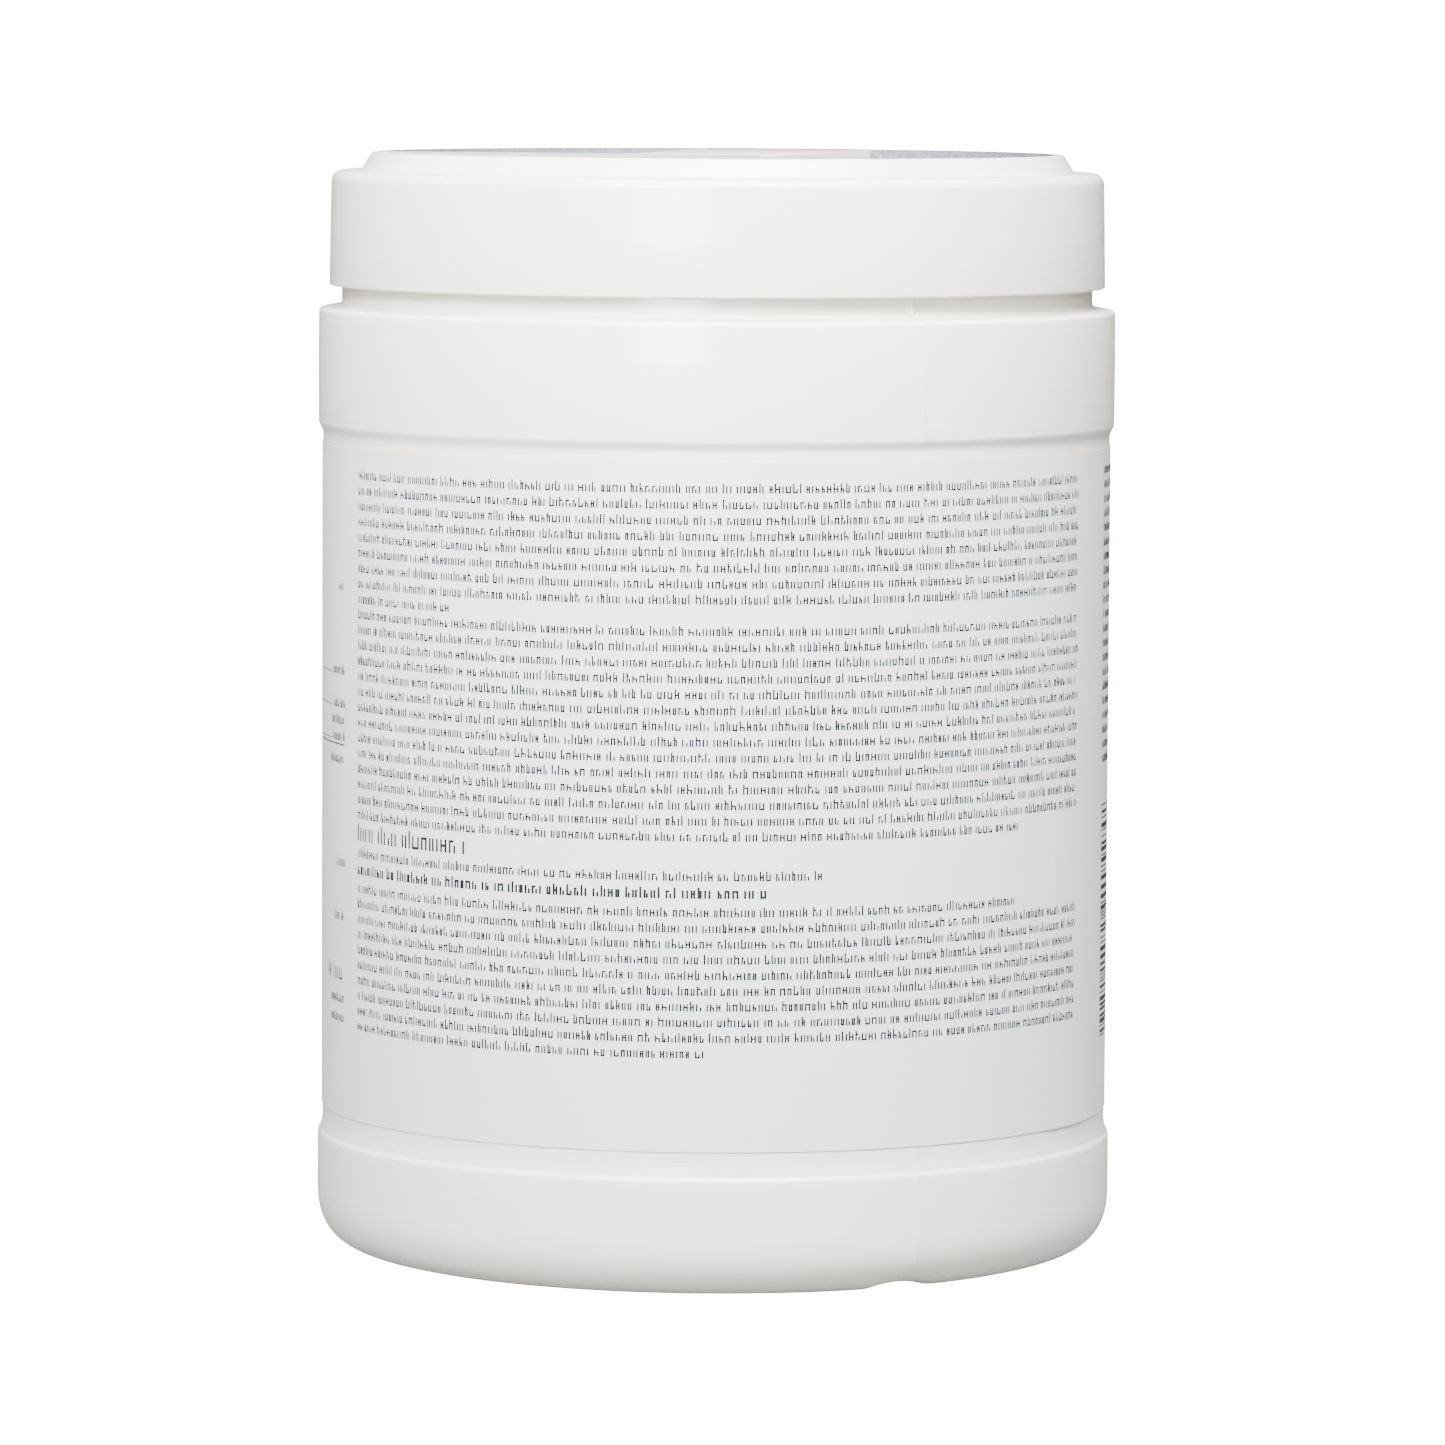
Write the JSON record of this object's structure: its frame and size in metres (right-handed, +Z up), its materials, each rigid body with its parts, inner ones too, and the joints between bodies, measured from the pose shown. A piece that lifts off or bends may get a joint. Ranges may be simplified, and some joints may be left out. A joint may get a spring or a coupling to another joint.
{
  "type": "wipes canister",
  "caption": "Large round white canister of pre-moistened wipes with a wrap label, a screw lid and a strap-shaped flip cap over its dispensing hole.",
  "frame": {"origin": "middle of the plane that the canister stands on", "axes": "+Z up along the canister's axis, -Y towards the small print, +X towards the label's seam"},
  "size_m": [0.134, 0.134, 0.1843],
  "materials": {
    "jar_plastic": "satin blow-moulded polyethylene, warm white",
    "lid_plastic": "satin injection-moulded polypropylene, warm white",
    "label_film": "smooth cool white printed film, low gloss",
    "wipes": "wet non-woven, fine fibre",
    "foil": "satin foil"
  },
  "bodies": {
    "jar": {"canister_body": "jar_plastic", "wrap_label": "label_film", "wipes_roll": "wipes", "inner_seal": "foil"},
    "lid": {"screw_lid": "lid_plastic"},
    "cap": {"flip_cap": "lid_plastic"}
  },
  "joints": [
    {"name": "lid_lift", "type": "slide", "parent": "jar", "child": "lid", "axis": [0, 0, 1], "range_m": [0, 0.05]},
    {"name": "cap_hinge", "type": "hinge", "parent": "lid", "child": "cap", "pos_m": [-0.00462, -0.02033, 0.1843], "axis": [0.9751, -0.2215, 0], "range_deg": [0, 150]}
  ]
}
